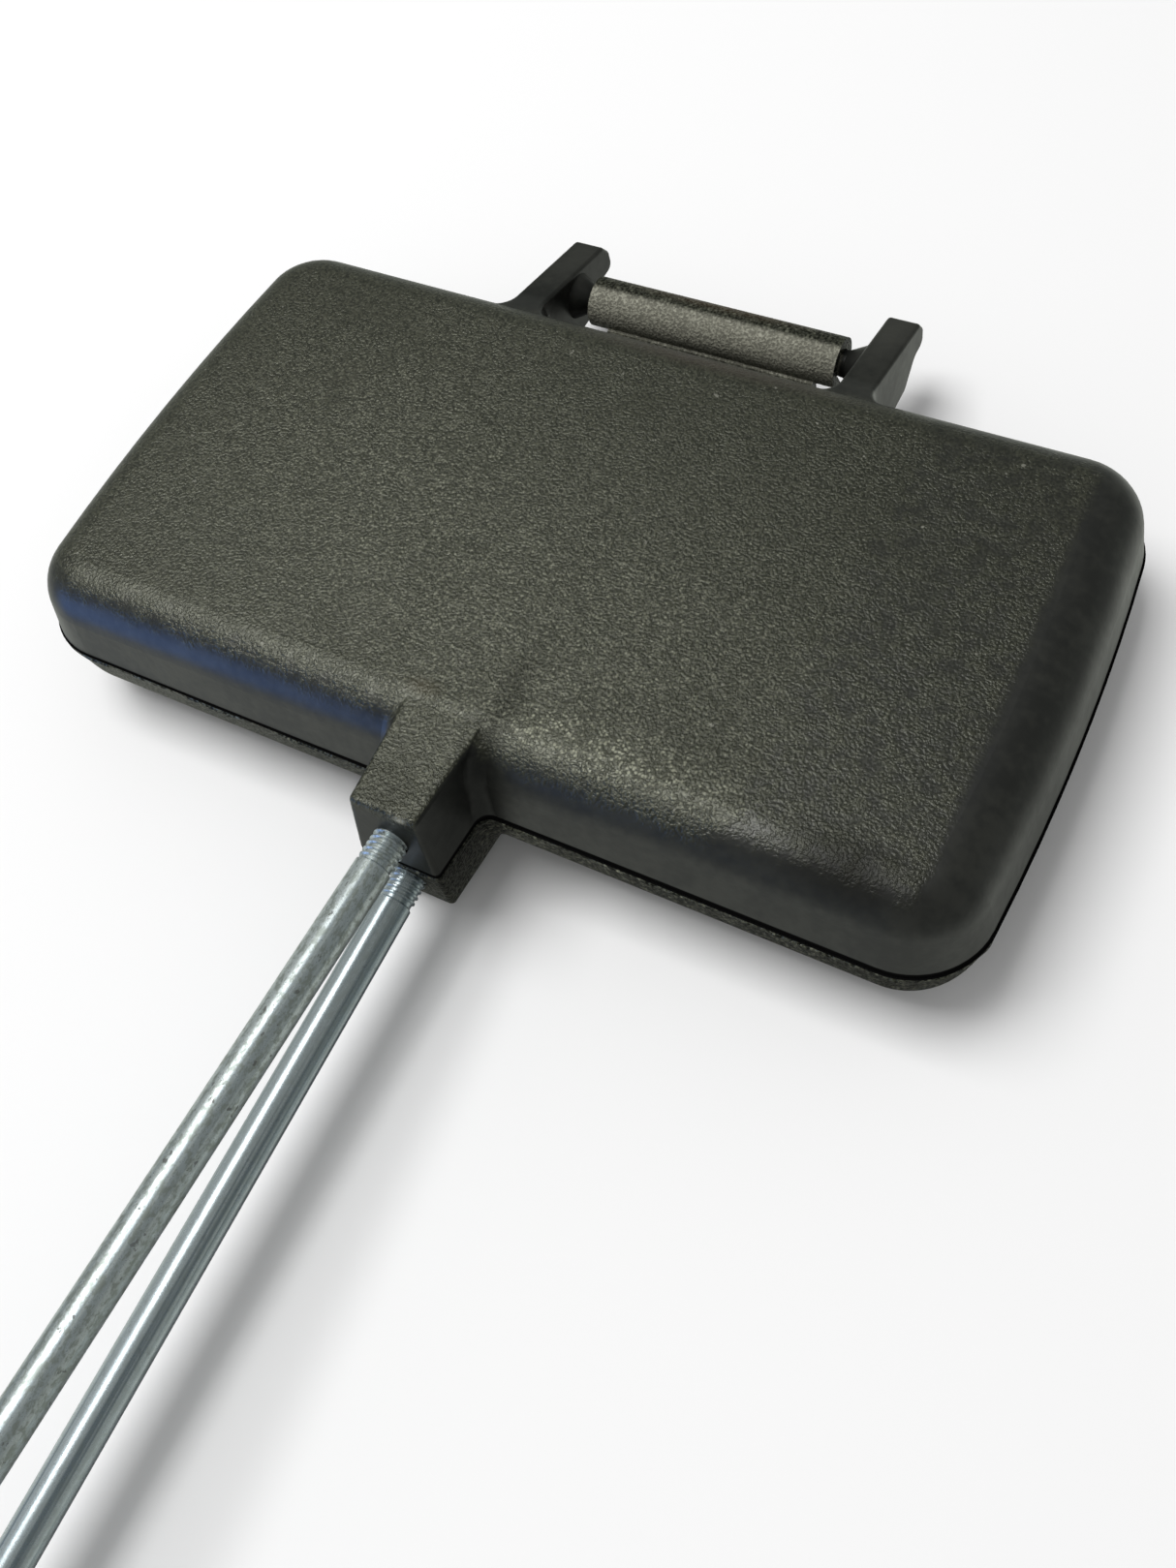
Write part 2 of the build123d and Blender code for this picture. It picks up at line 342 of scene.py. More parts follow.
@dataclass(frozen=True)
class CastIron:
    """Sand-cast iron: pebbled where a face lies flat in the mould, satin on the drafted sides, with
    painted light and shade in its colour.
    """

    name: str
    side_grain: float = 0.0
    # Painted shade: how dark the seam between the rims is painted.
    seam_shade: float = 1.0
    # Painted highlight: the share of grains that get a painted glint all over.
    even_glint: float = 0.12
    rim: float = 18.93
    pan_height: float = 18.9
    pit_colour: Colour = (0.0045, 0.0050, 0.0034)
    grain_colour: Colour = (0.028, 0.029, 0.0195)
    glint_colour: Colour = (0.215, 0.220, 0.165)
    skin_colour: Colour = (0.0075, 0.0080, 0.0072)
    scuff_colour: Colour = (0.0165, 0.0170, 0.0145)
    fleck_colour: Colour = (0.13, 0.13, 0.11)
    seam_shade_colour: Colour = (0.004, 0.004, 0.004)
    # Painted highlight: the light colour of the barrel's side towards the pans.
    barrel_highlight_colour: Colour = (0.250, 0.246, 0.200)
    grain_tint: Colour = (0.98, 1.0, 0.84)
    grain_scale: float = 1500.0
    grain_depth: float = 0.13
    grain_edges: Point = (0.34, 0.68)
    left_fade: Point = (-105.0, 20.0)
    rear_fade: Point = (60.0, -20.0)
    # Painted highlight: the glints painted on the grains, and how they spread.
    glint_scale: float = 1400.0
    glint_share: float = 0.85
    glint_chance: Point = (0.35, 0.90)
    glint_edges: Point = (0.70, 0.10)
    glint_lift: float = 0.05
    gloss: Point = (0.5, 0.6)
    grain_gloss: Point = (1.0, 1.0)
    hinge_gloss: float = 0.37
    hinge_front: Point = (66.0, 62.0)
    roughness: Point = (0.38, 0.33)
    skin_scale: float = 900.0
    skin_depth: float = 0.02
    mottle_scales: Point = (70.0, 420.0)
    lump_scale: float = 130.0
    lump_depth: float = 0.10
    fleck_scale: float = 520.0
    fleck_edges: Point = (0.74, 0.77)
    # Painted light: the grain's colour is lighter on the left and darker on the right.
    light_falloff: Point = (1.14, 0.88)
    light_falloff_run: Point = (-10.0, 80.0)
    wander_scale: float = 260.0
    wander: float = 1.0
    end_line: float = 101.3
    left_line: float = 2.3
    boss_line: float = 3.3
    right_line: float = 0.7
    boss_edge: Point = (8.0, 12.0)
    boss_back: Point = (-56.0, -58.0)
    right_part: Point = (56.0, 68.0)
    rear_end: Point = (60.0, 56.0)
    edge_blend: Point = (-2.2, 2.0)
    end_blend: Point = (-1.2, 1.2)
    barrel_ends: Point = (34.0, 33.0)
    barrel_front: Point = (68.0, 72.0)
    barrel_facing: Point = (-0.05, -0.35)
    barrel_highlight_grain: Point = (0.5, 0.92)
    seam_run: Point = (-60.0, 60.0)
    seam_width: Point = (0.35, 1.1)
    seam_blend: Point = (0.2, -0.2)
    seam_end: Point = (66.0, 65.0)
    # Painted highlight: patches where more grains get painted glints, on the front band and towards
    # the left.
    glint_patches: tuple[GlintPatch, ...] = (
        GlintPatch((22.0, -34.0, 38.5), (100.0, 80.0, 4.5), 0.6),
        GlintPatch((-55.0, 0.0, 38.5), (75.0, 75.0, 6.0), 0.42),
        GlintPatch((36.0, -49.5, 38.0), (44.0, 8.0, 3.0), 1.4),
    )
    stains_and_shade: tuple[StainAndShade, ...] = (
        StainAndShade((-7.0, -49.5, 37.8), (6.5, 3.5, 3.0), (0.028, 0.022, 0.010), 0.85),
        StainAndShade((-2.0, -73.0, 37.5), (12.0, 16.0, 4.0), (0.008, 0.0085, 0.006), 0.4, 0.2),
        StainAndShade((10.0, 55.0, 36.5), (50.0, 5.0, 8.0), (0.036, 0.024, 0.019), 0.6, 0.25),
        StainAndShade((0.0, 82.0, 28.0), (36.0, 4.0, 4.0), (0.060, 0.040, 0.024), 0.6),
        # Painted shade: dark, dull patch down the boss's right side, standing in for the shaded
        # floor it reflects and its rounded top edge.
        StainAndShade((11.0, -72.0, 24.0), (7.0, 60.0, 60.0), (0.005, 0.0055, 0.005), 0.7, 0.75),
        # Painted shade: darker, duller patch on the front-right rounding.
        StainAndShade((88.0, -53.0, 35.0), (26.0, 10.0, 9.0), (0.010, 0.010, 0.009), 0.8, 0.8),
        # Painted shade: darker, duller band along the right end.
        StainAndShade((116.0, -10.0, 22.0), (9.0, 100.0, 26.0), (0.010, 0.0105, 0.009), 0.6, 0.62),
        # The ears' satin tone, painted darker on the left ear and lighter on the right: painted
        # shade and light.
        StainAndShade((-42.0, 86.0, 19.0), (9.0, 24.0, 30.0), (0.026, 0.0265, 0.023), 1.0),
        StainAndShade((42.0, 86.0, 19.0), (9.0, 24.0, 30.0), (0.034, 0.0345, 0.030), 1.0),
        # Painted shade: dark, dull line on the web under the hinge barrel, in the gap between the
        # parts.
        StainAndShade((0.0, 70.0, 18.5), (42.0, 4.5, 5.0), (0.006, 0.006, 0.005), 0.95, 0.7),
        StainAndShade((4.2, -78.4, 36.8), (2.2, 1.4, 1.2), (0.30, 0.30, 0.25), 0.8),
    )

    def flat_mask(self, g: Graph) -> Socket:
        """Where a pan keeps its sand grain: the flat, and part of the way over its edges.

        Args:
            g: The graph.

        Returns:
            The mask.
        """
        x, y, z = g.split(g.place())
        drift = g.noise(self.wander_scale, 3.0, 0.6)
        wander = g.ramp(drift, 0.3, 0.7, (-self.wander * MM, self.wander * MM))
        height = g.math("ABSOLUTE", g.math("SUBTRACT", z, self.rim * MM))
        sunk = g.math("SUBTRACT", self.pan_height * MM, height)
        beside_boss = g.span(x, self.boss_edge, (self.left_line * MM, self.boss_line * MM))
        further = g.span(x, self.right_part, (0.0, (self.right_line - self.boss_line) * MM))
        line = g.math("ADD", beside_boss, further)
        above = g.math("SUBTRACT", g.math("ADD", line, wander), sunk)
        to_end = g.math("SUBTRACT", self.end_line * MM, x)
        inside = g.math("SUBTRACT", to_end, g.math("MULTIPLY", wander, 0.7))
        over_edge = g.span(above, self.edge_blend)
        mask = g.math("MULTIPLY", over_edge, g.span(inside, self.end_blend))
        east, _, _ = g.split(g.facing())
        sideways = g.ramp(g.math("ABSOLUTE", east), 0.55, 0.75)
        boss_side = g.math("MULTIPLY", g.span(y, self.boss_back), sideways)
        mask = g.math("MULTIPLY", mask, g.math("SUBTRACT", 1.0, boss_side))
        return g.math("MULTIPLY", mask, g.span(y, self.rear_end))

    def barrel_mask(self, g: Graph) -> Socket:
        """Where the hinge barrel shows its grain and a painted highlight: on the side towards the
        pans.

        Args:
            g: The graph.

        Returns:
            The mask.
        """
        x, y, _ = g.split(g.place())
        _, north, _ = g.split(g.facing())
        between_ears = g.span(g.math("ABSOLUTE", x), self.barrel_ends)
        towards_pans = g.ramp(north, *self.barrel_facing)
        mask = g.math("MULTIPLY", g.span(y, self.barrel_front), towards_pans)
        return g.math("MULTIPLY", mask, between_ears)

    def painted_glints(self, g: Graph, coarse: Socket) -> Socket:
        """Paint glints on some of the grains, more of them in the glint patches: painted highlight.

        Args:
            g: The graph.
            coarse: The sand grain's colour.

        Returns:
            The colour, with its painted glints, lifted towards the glint colour in the glint
            patches.
        """
        away, tone = g.cells(self.glint_scale)
        chance, _, _ = g.split(tone)
        chosen = g.ramp(chance, *self.glint_chance)
        glint = g.math("MULTIPLY", chosen, g.ramp(away, *self.glint_edges))
        share = self.even_glint
        for patch in self.glint_patches:
            near = g.math("MULTIPLY", g.near(patch.spot, patch.reach), patch.strength)
            share = g.math("ADD", share, near)
        # Painted light: in the glint patches the colour is lifted towards the glint colour.
        glint_lifted = g.mix(g.math("MULTIPLY", share, self.glint_lift), coarse, self.glint_colour)
        sparkle = g.math("MULTIPLY", glint, g.math("MULTIPLY", share, self.glint_share))
        return g.mix(sparkle, glint_lifted, self.glint_colour)

    def seam_mask(self, g: Graph) -> Socket:
        """The line where the two rims meet, painted near-black as shade in the gap.

        Args:
            g: The graph.

        Returns:
            The mask.
        """
        x, y, z = g.split(g.place())
        gap = g.math("ABSOLUTE", g.math("SUBTRACT", z, self.rim * MM))
        narrow, wide = self.seam_width
        width = g.span(x, self.seam_run, (narrow * MM, wide * MM))
        near_gap = g.span(g.math("SUBTRACT", gap, width), self.seam_blend)
        line = g.math("MULTIPLY", near_gap, g.span(y, self.seam_end))
        return g.math("MULTIPLY", line, self.seam_shade)

    def mottle(self, g: Graph) -> Socket:
        """Blotches on the casting's skin.

        Args:
            g: The graph.

        Returns:
            The blotches, 0 to 1.
        """
        broad, fine = self.mottle_scales
        clouds = g.math("MULTIPLY", g.noise(broad, 3.0, 0.6), 0.6)
        return g.math("ADD", clouds, g.math("MULTIPLY", g.noise(fine, 2.0, 0.5), 0.4))

    def relief(self, g: Graph, pebbles: Socket, sand: Socket, mottle: Socket) -> Socket:
        """The casting's relief: sand grain and fine skin on slow lumps.

        Args:
            g: The graph.
            pebbles: The sand grain's height.
            sand: Where the sand grain shows.
            mottle: The blotches, where the grain is deeper.

        Returns:
            The bumped normal.
        """
        x, y, _ = g.split(g.place())
        along = g.span(x, self.left_fade, (0.6, 1.0))
        across = g.span(y, self.rear_fade, (0.75, 1.0))
        depth = g.math("MULTIPLY", along, across)
        depth = g.math("MULTIPLY", depth, g.ramp(mottle, 0.36, 0.6, (0.6, 1.25)))
        grain = g.math("MULTIPLY", pebbles, g.math("MULTIPLY", sand, depth))
        skin = g.noise(self.skin_scale, 3.0, 0.6)
        fine = g.math("MULTIPLY", skin, self.skin_depth / self.grain_depth)
        lumps = g.bump(g.noise(self.lump_scale, 3.0, 0.55), self.lump_depth)
        return g.bump(g.math("ADD", grain, fine), self.grain_depth, lumps)

    def material(self) -> bpy.types.Material:
        """Build the material.

        Returns:
            The cast-iron material.
        """
        g = Graph(self.name)
        barrel = self.barrel_mask(g)
        sand = g.math("MAXIMUM", g.math("MAXIMUM", self.flat_mask(g), self.side_grain), barrel)
        unshaded = g.math("SUBTRACT", 1.0, self.seam_mask(g))
        x, y, _ = g.split(g.place())
        pebbles = g.ramp(g.noise(self.grain_scale, 2.0, 0.5), *self.grain_edges)
        coarse = g.mix(pebbles, self.pit_colour, self.grain_colour)
        coarse = self.painted_glints(g, coarse)
        # Painted light: the grain's colour is lighter on the left and darker on the right.
        coarse = g.mix(1.0, coarse, g.span(x, self.light_falloff_run, self.light_falloff), "MULTIPLY")
        mottle = self.mottle(g)
        skin = g.mix(g.ramp(mottle, 0.38, 0.62), self.skin_colour, self.scuff_colour)
        colour = g.mix(sand, skin, coarse)
        # Painted highlight: the barrel's side towards the pans is painted light, the more so on its
        # grains.
        bright = g.math("MULTIPLY", barrel, g.ramp(pebbles, 0.0, 1.0, self.barrel_highlight_grain))
        colour = g.mix(bright, colour, self.barrel_highlight_colour)
        flecks = g.ramp(g.noise(self.fleck_scale, 2.0, 0.5), *self.fleck_edges)
        colour = g.mix(g.math("MULTIPLY", flecks, sand), colour, self.fleck_colour)
        gloss = g.math("MULTIPLY", g.ramp(sand, 0.0, 1.0, self.gloss), unshaded)
        gloss = g.math("MULTIPLY", gloss, g.ramp(pebbles, 0.0, 1.0, self.grain_gloss))
        gloss = g.math("MULTIPLY", gloss, g.span(y, self.hinge_front, (self.hinge_gloss, 1.0)))
        for tint_mark in self.stains_and_shade:
            near = g.near(tint_mark.spot, tint_mark.reach)
            colour = g.mix(g.math("MULTIPLY", near, tint_mark.strength), colour, tint_mark.colour)
            gloss = g.math("MULTIPLY", gloss, g.ramp(near, 0.0, 1.0, (1.0, 1.0 - tint_mark.dulling)))
        return g.surface(
            # Painted shade: the seam line between the rims is painted near-black.
            Base_Color=g.mix(unshaded, self.seam_shade_colour, colour),
            Roughness=g.ramp(mottle, 0.35, 0.65, self.roughness),
            Specular_IOR_Level=gloss,
            Specular_Tint=g.mix(sand, (1.0, 1.0, 1.0), self.grain_tint),
            Normal=self.relief(g, pebbles, sand, mottle),
        )


@dataclass(frozen=True)
class ZincPlate:
    """Dull zinc on drawn steel: streaked along the rod, clouded and pitted."""

    name: str
    turn: float
    clouding: float
    streaking: float
    metal: float
    colour: Colour = (0.44, 0.50, 0.52)
    streak_colour: Colour = (0.16, 0.205, 0.235)
    cloud_colour: Colour = (0.19, 0.215, 0.175)
    pit_colour: Colour = (0.03, 0.03, 0.025)
    streak_scale: float = 620.0
    streak_edges: Point = (0.42, 0.60)
    cloud_scale: float = 900.0
    cloud_edges: Point = (0.45, 0.59)
    pit_scale: float = 520.0
    pit_edges: Point = (0.645, 0.675)
    roughness: float = 0.26
    relief: float = 0.03

    def material(self) -> bpy.types.Material:
        """Build the material.

        Returns:
            The zinc material.
        """
        g = Graph(self.name)
        lean = (self.turn, 0.0, 0.0)
        streaks = g.noise(self.streak_scale, 3.0, 0.6, g.mapped((1.0, 0.006, 1.0), lean))
        clouds = g.noise(self.cloud_scale, 4.0, 0.8, g.mapped((1.0, 0.5, 1.0), lean))
        streaked = g.ramp(streaks, *self.streak_edges, (0.0, self.streaking))
        colour = g.mix(streaked, self.colour, self.streak_colour)
        clouded = g.ramp(clouds, *self.cloud_edges, (0.0, self.clouding))
        colour = g.mix(clouded, colour, self.cloud_colour)
        spots = g.noise(self.pit_scale, 3.0, 0.6, g.mapped((1.0, 0.7, 1.0), lean))
        pits = g.ramp(spots, *self.pit_edges, (0.0, self.clouding))
        colour = g.mix(pits, colour, self.pit_colour)
        lines = g.math("MULTIPLY", streaks, 0.3 * self.streaking)
        dull = self.roughness + 0.2 * self.clouding
        return g.surface(
            Base_Color=colour,
            Metallic=g.ramp(pits, 0.0, 1.0, (self.metal, 0.0)),
            Roughness=g.ramp(clouds, 0.3, 0.7, (self.roughness, dull)),
            Normal=g.bump(g.math("ADD", lines, g.math("MULTIPLY", clouds, 0.7)), self.relief),
        )


@dataclass(frozen=True)
class TurnedWood:
    """Turned hardwood under thin lacquer, its grain along the rod."""

    name: str
    turn: float
    rings: float = 1500.0
    drift_scale: float = 30.0
    drift_reach: float = 0.03
    fibre_scale: float = 900.0
    relief: float = 0.04
    pale: Colour = (0.46, 0.25, 0.11)
    dark: Colour = (0.22, 0.095, 0.035)

    def material(self) -> bpy.types.Material:
        """Build the material.

        Returns:
            The wood material.
        """
        g = Graph(self.name)
        lean = (self.turn, 0.0, 0.0)
        drift = g.noise(self.drift_scale, 3.0, 0.5, g.mapped((1.0, 0.12, 1.0), lean))
        fibres = g.noise(self.fibre_scale, 3.0, 0.6, g.mapped((1.0, 0.02, 1.0), lean))
        x, _, z = g.split(g.mapped((1.0, 1.0, 1.0), lean))
        across = g.math("ADD", g.math("MULTIPLY", x, 0.9), g.math("MULTIPLY", z, 0.35))
        drifted = g.math("ADD", across, g.math("MULTIPLY", drift, self.drift_reach))
        wave = g.math("SINE", g.math("MULTIPLY", drifted, self.rings))
        rings = g.ramp(wave, -1.0, 1.0, (0.2, 0.62))
        tone = g.math("ADD", rings, g.math("MULTIPLY", fibres, 0.35))
        colour = g.mix(tone, self.dark, self.pale)
        return g.surface(
            Base_Color=colour,
            Roughness=g.ramp(fibres, 0.3, 0.7, (0.34, 0.46)),
            Coat_Weight=0.25,
            Coat_Roughness=0.18,
            Normal=g.bump(fibres, self.relief),
        )


# --- Pieces turned about a rod ----------------------------------------------------------------


def arc(middle: Point, radius: float, start: float, end: float, steps: int = 6) -> list[Point]:
    """Points along an arc of a half section.

    Args:
        middle: The arc's middle, as (radius, distance).
        radius: The arc's own radius.
        start: Where it starts, in degrees from the outward direction towards the tail.
        end: Where it ends.
        steps: How many chords.

    Returns:
        The points, both ends included.
    """
    angles = [math.radians(start + (end - start) * i / steps) for i in range(steps + 1)]
    return [(middle[0] + radius * math.cos(a), middle[1] + radius * math.sin(a)) for a in angles]


def through(knots: Sequence[Point], away: float) -> float:
    """The radius, at one distance, of the smooth curve through a few knots.

    Args:
        knots: Points of (radius, distance).
        away: The distance.

    Returns:
        The radius.
    """
    total = 0.0
    for radius, at in knots:
        others = [place for _, place in knots if place != at]
        total += radius * math.prod((away - place) / (at - place) for place in others)
    return total


@dataclass(frozen=True)
class RodLine:
    """The line of one rod, from its pan's boss out to its tail."""

    half: Half
    boss_front: float = -80.3
    rim: float = 18.8
    rim_gap: float = 0.25
    offset: float = 8.05
    spread: float = 2.6

    @property
    def lean(self) -> float:
        """The rod's lean against the Y axis, in radians."""
        return self.half.side * math.radians(self.spread)

    def matrix(self) -> Matrix:
        """Turn a piece made along Z, in millimetres, into its place in metres.

        Returns:
            The transform.
        """
        rim = self.rim + (self.rim_gap if self.half is Half.UPPER else 0.0)
        start = Vector((0.0, self.boss_front, rim + self.half.side * self.offset))
        upright = Matrix.Rotation(math.pi / 2, 4, "X")
        leaning = Matrix.Rotation(-self.lean, 4, "X")
        return Matrix.Scale(MM, 4) @ Matrix.Translation(start) @ leaning @ upright


def finish_piece(mesh: bmesh.types.BMesh, name: str, half: Half,
                 material: bpy.types.Material) -> bpy.types.Object:
    """Turn a bmesh into a finished piece that rides on its half.

    Args:
        mesh: The bmesh, in metres and in its place. It is freed.
        name: The piece's name.
        half: The half that it moves with.
        material: Its material.

    Returns:
        The finished object.
    """
    bmesh.ops.recalc_face_normals(mesh, faces=mesh.faces)
    data = bpy.data.meshes.new(name)
    mesh.to_mesh(data)
    mesh.free()
    data.shade_smooth()
    data.set_sharp_from_angle(angle=SHARP_ANGLE)
    data.materials.append(material)
    piece = bpy.data.objects.new(name, data)
    bpy.context.scene.collection.objects.link(piece)
    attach(piece, half.body)
    LOG.info("%s: %d faces on %s", name, len(data.polygons), half.body)
    return piece


class Turning:
    """A bmesh that is built along Z about a rod's line and then put in its place."""

    ridge_steps: int = 28
    ridge_flat: float = 0.10
    runout: float = 0.45
    runout_start: float = 0.6
    merge: float = 0.0005

    def __init__(self, line: RodLine) -> None:
        """Start an empty mesh.

        Args:
            line: The rod that the piece sits on.
        """
        self.line = line
        self.mesh = bmesh.new()

    def lathe(self, profile: Sequence[Point], steps: int) -> None:
        """Spin a half section into a closed solid.

        Args:
            profile: Points of (radius, distance), a closed loop or ends on the axis.
            steps: Facets round the full turn.
        """
        points = [self.mesh.verts.new((radius, 0.0, away)) for radius, away in profile]
        chain = [self.mesh.edges.new(pair) for pair in zip(points, points[1:])]
        if profile[0][0] > 0 or profile[-1][0] > 0:
            chain.append(self.mesh.edges.new((points[-1], points[0])))
        bmesh.ops.spin(
            self.mesh, geom=points + chain, cent=(0, 0, 0), axis=(0, 0, 1), dvec=(0, 0, 0),
            angle=FULL_TURN, steps=steps, use_merge=True,
        )

    def ridge(self, root: float, crest: float, start: float, pitch: float, turns: float) -> None:
        """Wind one rounded thread ridge as a closed helix.

        Args:
            root: Radius of the thread's root.
            crest: Radius of its crest.
            start: Where it starts along Z.
            pitch: Rise in one turn.
            turns: How many turns.
        """
        flat, half = pitch * self.ridge_flat, pitch / 2
        section = [(root, -half), (crest, -flat), (crest, flat), (root, half)]
        before = set(self.mesh.verts)
        ring = [self.mesh.verts.new((radius, 0.0, start + rise)) for radius, rise in section]
        face = self.mesh.faces.new(ring)
        steps = round(turns * self.ridge_steps)
        bmesh.ops.spin(
            self.mesh, geom=[*ring, *face.edges, face], cent=(0, 0, 0), axis=(0, 0, 1),
            dvec=(0, 0, pitch * turns / steps), angle=FULL_TURN * turns, steps=steps,
        )
        fade = pitch * self.runout
        for vertex in set(self.mesh.verts) - before:
            inside = min(vertex.co.z - start + half, start + pitch * turns + half - vertex.co.z)
            radius = vertex.co.xy.length
            rise = min(1.0, max(0.0, inside / fade - self.runout_start))
            wanted = root + (radius - root) * rise
            vertex.co.xy *= wanted / radius

    def finish(self, piece: str, detail: str, material: bpy.types.Material) -> None:
        """Close the mesh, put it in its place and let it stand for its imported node.

        Args:
            piece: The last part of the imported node's name.
            detail: A word for the new piece's name.
            material: Its material.
        """
        half = self.line.half
        bmesh.ops.remove_doubles(self.mesh, verts=self.mesh.verts, dist=self.merge)
        bmesh.ops.transform(self.mesh, matrix=self.line.matrix(), verts=self.mesh.verts)
        finished = finish_piece(self.mesh, half.node(f"{piece}_{detail}"), half, material)
        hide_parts(half.node(piece))


@dataclass
class Rod:
    """A drawn steel rod with a rolled thread at its head and tail."""

    line: RodLine
    radius: float = 3.97
    thread_depth: float = 0.764
    worn_depth: float = 0.45
    pitch: float = 1.411
    seated: float = 18.5
    threads_seated: int = 12
    threads_shown: int = 4
    shown: float = 392.0
    collar_radius: float = 5.75
    collar_length: float = 3.0
    collar_shoulder: float = 1.5
    tail: float = 529.5
    tail_thread: float = 12.0
    end_chamfer: float = 0.5
    thread_step: float = 0.1
    collar_lip: Point = (0.4, 0.2)
    collar_chamfer: float = 0.3
    head_turns_cut: float = 0.3
    tail_turns_cut: float = 1.0
    tail_lead: float = 0.6
    ridge_sunk: float = 0.02
    facets: int = 64

    def build(self, material: bpy.types.Material) -> None:
        """Model the rod.

        Args:
            material: The zinc finish.
        """
        root = self.radius - self.thread_depth
        head = self.threads_shown * self.pitch
        worn = self.radius - self.worn_depth
        collar = self.shown - self.collar_length
        lip = (self.collar_radius - self.collar_lip[0], collar - self.collar_lip[1])
        tail_start = self.tail - self.tail_thread
        profile = [
            (0.0, -self.seated), (root - self.end_chamfer, -self.seated),
            (root, self.end_chamfer - self.seated), (root, 0.0), (worn, self.thread_step),
            (worn, head), (self.radius, head + self.worn_depth),
            (self.radius, collar - self.collar_shoulder), lip,
            (self.collar_radius, collar + self.collar_chamfer),
            (self.collar_radius, self.shown - self.collar_chamfer),
            (self.collar_radius - self.collar_chamfer, self.shown), (self.radius, self.shown),
            (self.radius, tail_start), (root, tail_start + self.thread_depth),
            (root, self.tail - self.end_chamfer), (root - self.end_chamfer, self.tail),
            (0.0, self.tail),
        ]
        turning = Turning(self.line)
        turning.lathe(profile, self.facets)
        foot = root - self.ridge_sunk
        head_start = -self.threads_seated * self.pitch
        turns = self.threads_seated + self.threads_shown - self.head_turns_cut
        turning.ridge(foot, self.radius, head_start, self.pitch, turns)
        tail_turns = self.tail_thread / self.pitch - self.tail_turns_cut
        tail_ridge = tail_start + self.pitch * self.tail_lead
        turning.ridge(foot, self.radius, tail_ridge, self.pitch, tail_turns)
        turning.finish("rod", "threaded", material)


@dataclass
class Grip:
    """A turned grip: a tenon for the ferrule, a belly, a waist and a rounded end."""

    line: RodLine
    start: float = 392.0
    length: float = 128.0
    bore: float = 4.02
    tenon_radius: float = 7.5
    tenon_length: float = 13.0
    neck_radius: float = 9.5
    neck_round: float = 0.8
    belly: Point = (14.0, 0.38)
    waist: Point = (12.25, 0.74)
    end_radius: float = 13.5
    end_round: float = 5.0
    bore_chamfer: float = 0.4
    slices: int = 40
    facets: int = 72

    def build(self, material: bpy.types.Material) -> None:
        """Model the grip.

        Args:
            material: The wood finish.
        """
        shoulder = self.start + self.tenon_length
        end = self.start + self.length
        reach = end - shoulder
        knots = [
            (self.neck_radius, shoulder), (self.belly[0], shoulder + reach * self.belly[1]),
            (self.waist[0], shoulder + reach * self.waist[1]),
            (self.end_radius, end - self.end_round),
        ]
        swell_start = shoulder + self.neck_round
        swell_end = end - self.end_round
        swell = swell_end - swell_start
        places = [swell_start + swell * i / self.slices for i in range(1, self.slices)]
        neck_middle = (through(knots, swell_start) - self.neck_round, swell_start)
        profile = [
            (self.bore, self.start), (self.tenon_radius, self.start), (self.tenon_radius, shoulder),
            *arc(neck_middle, self.neck_round, -90.0, 0.0, 4),
            *((through(knots, away), away) for away in places),
            *arc((self.end_radius - self.end_round, swell_end), self.end_round, 0.0, 90.0, 10),
            (self.bore + self.bore_chamfer, end), (self.bore, end - self.bore_chamfer),
        ]
        turning = Turning(self.line)
        turning.lathe(profile, self.facets)
        turning.finish("grip", "turned", material)


@dataclass
class Ferrule:
    """A drawn ring over the grip's tenon, rolled in at the front and crimped once."""

    line: RodLine
    start: float = 392.0
    length: float = 13.0
    inner: float = 7.55
    wall: float = 1.0
    crimp: float = 0.35
    crimp_width: float = 2.2
    crimp_place: float = 0.62
    crimp_steps: int = 8
    rolled_in: float = -70.0
    end_round: float = 0.3
    facets: int = 64

    def build(self, material: bpy.types.Material) -> None:
        """Model the ferrule.

        Args:
            material: The plated finish.
        """
        outer = self.inner + self.wall
        end = self.start + self.length
        middle = self.start + self.length * self.crimp_place
        places = range(self.crimp_steps + 1)
        steps = [self.crimp_width * (i / self.crimp_steps - 0.5) for i in places]
        dips = [self.crimp * math.cos(math.pi * step / self.crimp_width) ** 2 for step in steps]
        profile = [
            (self.inner, self.start),
            *arc((outer - self.wall, self.start + self.wall), self.wall, self.rolled_in, 0.0),
            *((outer - dip, middle + step) for step, dip in zip(steps, dips)),
            *arc((outer - self.end_round, end - self.end_round), self.end_round, 0.0, 90.0, 3),
            (self.inner, end),
        ]
        turning = Turning(self.line)
        turning.lathe(profile, self.facets)
        turning.finish("ferrule", "rolled", material)


@dataclass
class Washer:
    """A stamped washer: rounded over on its outer side, square on the other."""

    line: RodLine
    start: float = 520.0
    thickness: float = 1.6
    bore: float = 4.02
    radius: float = 9.5
    rollover: float = 0.7
    break_edge: float = 0.1
    bore_chamfer: float = 0.2
    facets: int = 64

    def build(self, material: bpy.types.Material) -> None:
        """Model the washer.

        Args:
            material: The plated finish.
        """
        end = self.start + self.thickness
        profile = [
            (self.bore, self.start), (self.radius - self.break_edge, self.start),
            (self.radius, self.start + self.break_edge),
            *arc((self.radius - self.rollover, end - self.rollover), self.rollover, 0.0, 90.0, 5),
            (self.bore + self.bore_chamfer, end), (self.bore, end - self.bore_chamfer),
        ]
        turning = Turning(self.line)
        turning.lathe(profile, self.facets)
        turning.finish("washer", "stamped", material)


